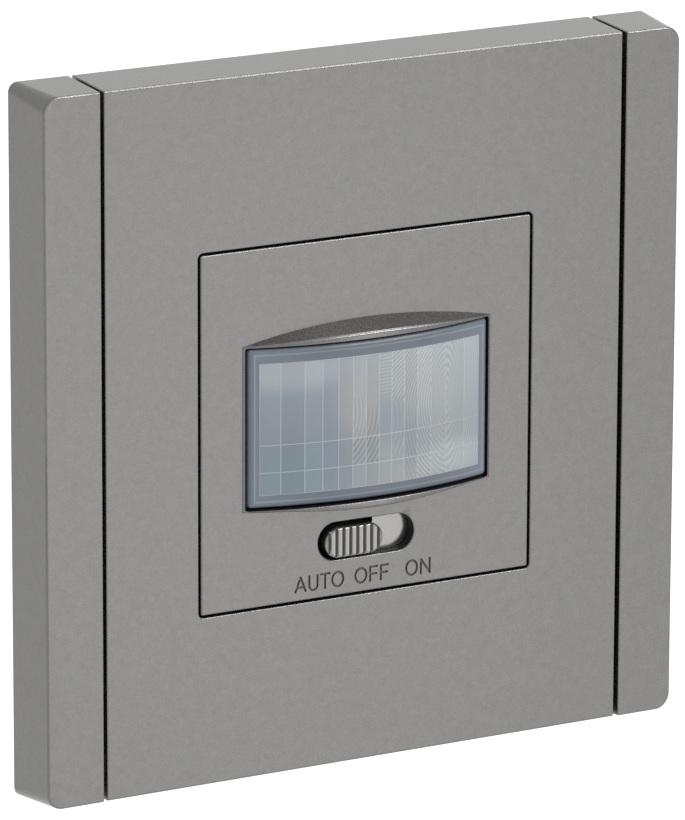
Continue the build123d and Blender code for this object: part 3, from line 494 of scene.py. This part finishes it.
def lens_mesh():
    """Closed shell: patterned front, wall, flange and plain inside, with the pattern kept as attributes."""
    half_w, half_h = LENS_WIDTH / 2, LENS_HEIGHT / 2
    column_marks = np.array(sorted({s * c for c in COLUMNS for s in (-1, 1)} | {FIELD[0], FIELD[1]}))
    row_marks = np.array(sorted({*ROWS, FIELD[2], FIELD[3]}))
    xs = axis_lines(LENS_SHIFT - half_w, LENS_SHIFT + half_w, column_marks)
    zs = axis_lines(LENS_RISE - half_h, LENS_RISE + half_h, row_marks)
    a, b = np.meshgrid(xs, zs, indexing="ij")
    inset = np.minimum(half_w - np.abs(a - LENS_SHIFT), half_h - np.abs(b - LENS_RISE))
    # The square corner of the grid is drawn in to the lens's rounded corner
    da = np.abs(a - LENS_SHIFT) - (half_w - LENS_CORNER)
    db = np.abs(b - LENS_RISE) - (half_h - LENS_CORNER)
    corner = (da > 0) & (db > 0)
    pull = np.where(corner, np.maximum(da, db) / np.maximum(np.hypot(da, db), 1e-9), 1.0)
    x = np.where(corner, LENS_SHIFT + np.sign(a) * (half_w - LENS_CORNER + da * pull), a)
    z = np.where(corner, LENS_RISE + np.sign(b - LENS_RISE) * (half_h - LENS_CORNER + db * pull), b)
    front = BARREL_Y - np.sqrt(LENS_RADIUS**2 - x**2)
    turn = np.clip(1 - inset / EDGE_WIDTH, 0, 1)
    front += EDGE_DROP * (1 - np.sqrt(1 - turn**2))
    # Field, seams and rings stand out from the barrel
    field, seam = np.ones_like(x), np.zeros_like(x)
    for place, low, high, marks in ((x, *FIELD[:2], column_marks), (z, *FIELD[2:], row_marks)):
        field *= smooth_step(place, low - FIELD_FADE, low + FIELD_FADE)
        field *= smooth_step(-place, -high - FIELD_FADE, -high + FIELD_FADE)
        for mark in marks:
            seam = np.maximum(seam, np.clip(1 - np.abs(place - mark) / SEAM_HALF, 0, 1))
    seam *= smooth_step(field, 0.0, SEAM_START)
    ring = np.zeros_like(x)
    for x0, x1, z0, z1, cx, cz, spacing, height, share in RINGS:
        inside = (x > x0) & (x < x1) & (z > z0) & (z < z1)
        wave = height * np.cos(2 * pi * np.hypot(x - cx, (z - cz) * share) / spacing)
        ring = np.where(inside, wave, ring)
    ring *= (1 - seam) * field
    front -= FIELD_RELIEF * field + SEAM_RELIEF * seam + ring
    # Each column and row has its own slight tone
    band = np.searchsorted(column_marks, x) + np.searchsorted(row_marks, z) * ROW_TONES
    tone = np.sin(band * TONE_STEP) * field
    cell = np.clip(np.searchsorted(column_marks, x), 1, len(column_marks) - 1)
    to_cell = ((column_marks[cell] + column_marks[cell - 1]) / 2 - x) * CELL_PULL
    nx, nz = a.shape
    index = np.arange(nx * nz).reshape(nx, nz)
    verts = [tuple(v) for v in np.stack([x, front, z], -1).reshape(-1, 3)]
    faces = []

    def fill(grid, flipped=False):
        """Faces between a grid's neighbouring lines."""
        for low, high in zip(grid, grid[1:]):
            for j in range(len(low) - 1):
                face = (int(low[j]), int(high[j]), int(high[j + 1]), int(low[j + 1]))
                faces.append((face[0], *face[:0:-1]) if flipped else face)

    def rectangle(width, height, y, counts):
        """Loop of new vertices round a rectangle, with places as in ring_of."""
        reach_x, reach_z = width / 2, height / 2
        corners = ((-reach_x, -reach_z), (reach_x, -reach_z), (reach_x, reach_z), (-reach_x, reach_z))
        loop = []
        for side, count in enumerate(counts):
            (x0, z0), (x1, z1) = corners[side], corners[(side + 1) % 4]
            for k in range(count):
                t = k / count
                verts.append((x0 + (x1 - x0) * t, y, FLANGE_RISE + z0 + (z1 - z0) * t))
                loop.append((len(verts) - 1, side + t))
        return loop

    def bridge(first, second):
        """Triangles between two loops whose places rise the same way."""
        i = j = 0
        na, nb = len(first), len(second)
        while i < na or j < nb:
            here_a, here_b = first[i % na][0], second[j % nb][0]
            next_a = first[i + 1][1] if i + 1 < na else 4.0
            next_b = second[j + 1][1] if j + 1 < nb else 4.0
            if j >= nb or (i < na and next_a <= next_b):
                faces.append((here_a, here_b, first[(i + 1) % na][0]))
                i += 1
            else:
                faces.append((here_a, here_b, second[(j + 1) % nb][0]))
                j += 1

    fill(index)
    outline = ring_of(index)
    wall = []
    for k, place in outline:
        verts.append((verts[k][0], FLANGE_FRONT, verts[k][2]))
        wall.append((len(verts) - 1, place))
    for k in range(len(wall)):
        n = (k + 1) % len(wall)
        faces.append((outline[k][0], wall[k][0], wall[n][0], outline[n][0]))
    flange = box_size("fresnel_lens")
    front_edge = rectangle(*flange, FLANGE_FRONT, FLANGE_POINTS)
    back_edge = rectangle(*flange, FLANGE_BACK, FLANGE_POINTS)
    bridge(wall, front_edge)
    bridge(front_edge, back_edge)
    mouth = rectangle(LENS_WIDTH - 2 * SKIN, LENS_HEIGHT - 2 * SKIN, FLANGE_BACK,
                      (INNER_COLUMNS, INNER_ROWS, INNER_COLUMNS, INNER_ROWS))
    bridge(back_edge, mouth)
    inner_start = len(verts)
    inner_x = np.linspace(SKIN - half_w, half_w - SKIN, INNER_COLUMNS + 1)
    inner_z = np.linspace(FLANGE_RISE - half_h + SKIN, FLANGE_RISE + half_h - SKIN, INNER_ROWS + 1)
    for vx in inner_x:
        for vz in inner_z:
            verts.append((vx, BARREL_Y - sqrt((LENS_RADIUS - SKIN)**2 - vx**2), vz))
    inner_shape = (INNER_COLUMNS + 1, INNER_ROWS + 1)
    inner_index = inner_start + np.arange(inner_shape[0] * inner_shape[1]).reshape(inner_shape)
    bridge(mouth, ring_of(inner_index))
    fill(inner_index, flipped=True)
    mesh = bpy.data.meshes.new("lens_shell")
    mesh.from_pydata([(vx * MM, vy * MM, vz * MM) for vx, vy, vz in verts], [], faces)
    pattern = {"field": field, "seam": seam, "ring": ring / TALLEST_RING, "tone": tone, "inset": inset,
               "to_cell": to_cell}
    for name, values in pattern.items():
        layer = mesh.attributes.new(name, "FLOAT", "POINT")
        filled = np.zeros(len(verts), dtype=np.float32)
        filled[:nx * nz] = values.reshape(-1)
        layer.data.foreach_set("value", filled)
    work = bmesh.new()
    work.from_mesh(mesh)
    bmesh.ops.recalc_face_normals(work, faces=work.faces)
    work.to_mesh(mesh)
    work.free()
    mesh.shade_smooth()
    mesh.set_sharp_from_angle(angle=LENS_SHARP)
    return mesh


def lens_material():
    """Milky plastic: tones and tinted patches over the field as painted light of the lit inside seen
    through it, seams with a painted highlight, rings with painted light and shade, and a blue-grey border
    with painted shade at its edge and a painted highlight line.
    """
    m = Maker("lens_plastic")
    split = m.node("ShaderNodeSeparateXYZ")
    m.link(m.place, "Object", split, "Vector")

    def spread(axis, low, high):
        """Socket that runs from 0 to 1 between two places on an axis, in millimetres."""
        made = m.node("ShaderNodeMapRange", From_Min=low * MM, From_Max=high * MM)
        m.link(split, axis, made, "Value")
        return made.outputs["Result"]

    def patch(cx, cz, rx, rz, strength):
        """Soft round patch: a socket that is strength in the middle and zero outside."""
        mapping = m.node("ShaderNodeMapping", Location=(-cx / rx, 0, -cz / rz),
                         Scale=(1 / (rx * MM), 0, 1 / (rz * MM)))
        m.link(cell_place, "Vector", mapping, "Vector")
        length = m.node("ShaderNodeVectorMath", operation="LENGTH")
        m.link(mapping, "Vector", length, "Vector")
        fade = m.node("ShaderNodeMapRange", interpolation_type="SMOOTHSTEP", From_Min=PATCH_CORE,
                      To_Min=strength, To_Max=0.0)
        m.link(length, "Value", fade, "Value")
        return fade.outputs["Result"]

    def attribute(name):
        return m.node("ShaderNodeAttribute", attribute_name=name).outputs["Fac"]

    def scaled(socket, factor, offset=0.0):
        made = m.node("ShaderNodeMath", operation="MULTIPLY_ADD")
        m.wire(socket, made, 0)
        made.inputs[1].default_value = factor
        made.inputs[2].default_value = offset
        return made.outputs["Value"]

    def toned(below, name, contrast):
        """Colour made lighter or darker by a mesh attribute."""
        level = m.node("ShaderNodeCombineColor")
        for channel in ("Red", "Green", "Blue"):
            m.wire(scaled(attribute(name), contrast, 1.0), level, channel)
        return m.mix("MULTIPLY", below, level.outputs["Color"])

    # Places drawn toward the middle of each column, so that the patches break at the seams
    cell_place = m.node("ShaderNodeVectorMath", operation="ADD")
    cell_shift = m.node("ShaderNodeCombineXYZ")
    m.wire(scaled(attribute("to_cell"), MM), cell_shift, "X")
    m.link(m.place, "Object", cell_place, 0)
    m.link(cell_shift, "Vector", cell_place, 1)

    # Painted light over the field: tones across and down and tinted patches stand in for the lit inside
    # seen through the plastic
    across = spread("X", -GRADIENT_HALF_WIDTH, GRADIENT_HALF_WIDTH)
    down = spread("Z", GRADIENT_HALF_HEIGHT, -GRADIENT_HALF_HEIGHT)
    colour = m.mix("MULTIPLY", m.ramp(across, ACROSS_COLOURS), m.ramp(down, DOWN_TONES))
    for *shape, tint in PATCHES:
        colour = m.mix("MIX", colour, tint, patch(*shape))
    colour = toned(colour, "tone", SEGMENT_CONTRAST)
    # The rings painted lighter and darker: painted light and shade of their refraction
    colour = toned(colour, "ring", RING_LIGHT_AND_SHADE)
    # Painted highlight along the seams
    seam_highlight = m.node("ShaderNodeMath", operation="MULTIPLY")
    m.wire(attribute("seam"), seam_highlight, 0)
    m.wire(m.ramp(across, SEAM_HIGHLIGHT_LEVELS), seam_highlight, 1)
    colour = m.mix("MIX", colour, SEAM_HIGHLIGHT_COLOUR, seam_highlight.outputs["Value"])
    # Border: blue-grey with painted shade at the edge and a painted highlight line along its rounding
    edge = m.node("ShaderNodeMapRange", From_Max=BORDER_WIDTH)
    m.wire(attribute("inset"), edge, "Value")
    border = m.mix("MULTIPLY", m.ramp(edge.outputs["Result"], BORDER_TINT_AND_SHADING), m.ramp(across, BORDER_TONES))
    m.wire(m.mix("MIX", border, colour, attribute("field")), m.shader, "Base Color")
    fine = m.noise(LENS_GRAIN)
    m.wire(m.ramp(fine, LENS_ROUGHNESS), m.shader, "Roughness")
    m.bump(fine, LENS_BUMP, LENS_BUMP_DEPTH)
    m.set(IOR=PLASTIC_IOR, Transmission_Weight=LENS_CLEARNESS)
    return m.material


lens = add_piece("lens_shell", lens_mesh(), lens_material())
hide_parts("fresnel_lens")

# World: even studio light, which the camera, mirroring surfaces and clear ones see as white
WORLD_LEVEL, SEEN_LEVEL = 0.75, 1.0
world = bpy.data.worlds.new("studio")
scene.world = world
world.use_nodes = True
tree = world.node_tree
tree.nodes.clear()


def background(strength):
    made = tree.nodes.new("ShaderNodeBackground")
    made.inputs["Color"].default_value = (1, 1, 1, 1)
    made.inputs["Strength"].default_value = strength
    return made.outputs["Background"]


def seen_directly(node_tree):
    """Socket that is 1 for rays from the camera and for those that mirror or pass through."""
    rays = node_tree.nodes.new("ShaderNodeLightPath")
    last = rays.outputs["Is Camera Ray"]
    for name in ("Is Glossy Ray", "Is Transmission Ray"):
        larger = node_tree.nodes.new("ShaderNodeMath")
        larger.operation = "MAXIMUM"
        node_tree.links.new(last, larger.inputs[0])
        node_tree.links.new(rays.outputs[name], larger.inputs[1])
        last = larger.outputs[0]
    return last


mixer = tree.nodes.new("ShaderNodeMixShader")
world_out = tree.nodes.new("ShaderNodeOutputWorld")
tree.links.new(seen_directly(tree), mixer.inputs["Fac"])
tree.links.new(background(WORLD_LEVEL), mixer.inputs[1])
tree.links.new(background(SEEN_LEVEL), mixer.inputs[2])
tree.links.new(mixer.outputs["Shader"], world_out.inputs["Surface"])

LAMPS = (
    # name, place, target, size, watts
    ("key", (0.36, -0.74, -0.19), (0, 0, 0), (0.26, 0.34), 0.3),
    ("overhead", (0.42, -0.12, 0.78), (0, 0, 0), (0.5, 0.14), 1.8),
    ("upper_front", (0.42, -0.63, 0.42), (0, 0, 0), (0.44, 0.1), 3.2),
    ("back_top", (0.44, 0.84, 0.2), (0, 0, 0.03), (0.4, 0.3), 0.1),
)
for name, place, target, size, power in LAMPS:
    lamp_data = bpy.data.lights.new(name, "AREA")
    lamp_data.shape = "RECTANGLE"
    lamp_data.size, lamp_data.size_y = size
    lamp_data.energy = power
    lamp = bpy.data.objects.new(name, lamp_data)
    lamp.location = place
    lamp.rotation_euler = (Vector(target) - Vector(place)).to_track_quat("-Z", "Y").to_euler()
    lamp.visible_camera = False
    scene.collection.objects.link(lamp)

# Pale floor well under the object, seen white
FLOOR, FLOOR_REACH = -0.45, 6
FLOOR_GLOW, FLOOR_ROUGHNESS, FLOOR_GRAIN = 0.85, 0.9, 8.0
FLOOR_TONES = ((0.3, 0.49), (0.7, 0.51))
floor_corners = [(x * FLOOR_REACH, y * FLOOR_REACH, FLOOR) for x, y in ((-1, -1), (1, -1), (1, 1), (-1, 1))]
floor_data = bpy.data.meshes.new("floor")
floor_data.from_pydata(floor_corners, [], [(0, 1, 2, 3)])
floor = bpy.data.objects.new("floor", floor_data)
scene.collection.objects.link(floor)
ground = Maker("floor_white")
ground.set(Roughness=FLOOR_ROUGHNESS, Specular_IOR_Level=0.0)
ground.wire(ground.ramp(ground.noise(FLOOR_GRAIN), FLOOR_TONES), ground.shader, "Base Color")
glow_level = ground.node("ShaderNodeMath", operation="MULTIPLY")
glow_level.inputs[1].default_value = FLOOR_GLOW
ground.wire(seen_directly(ground.tree), glow_level, 0)
glow = ground.node("ShaderNodeEmission")
ground.link(glow_level, "Value", glow, "Strength")
total = ground.node("ShaderNodeAddShader")
ground.link(ground.shader, "BSDF", total, 0)
ground.link(glow, "Emission", total, 1)
ground.link(total, "Shader", ground.out, "Surface")
floor_data.materials.append(ground.material)

scene.view_settings.view_transform = "Standard"
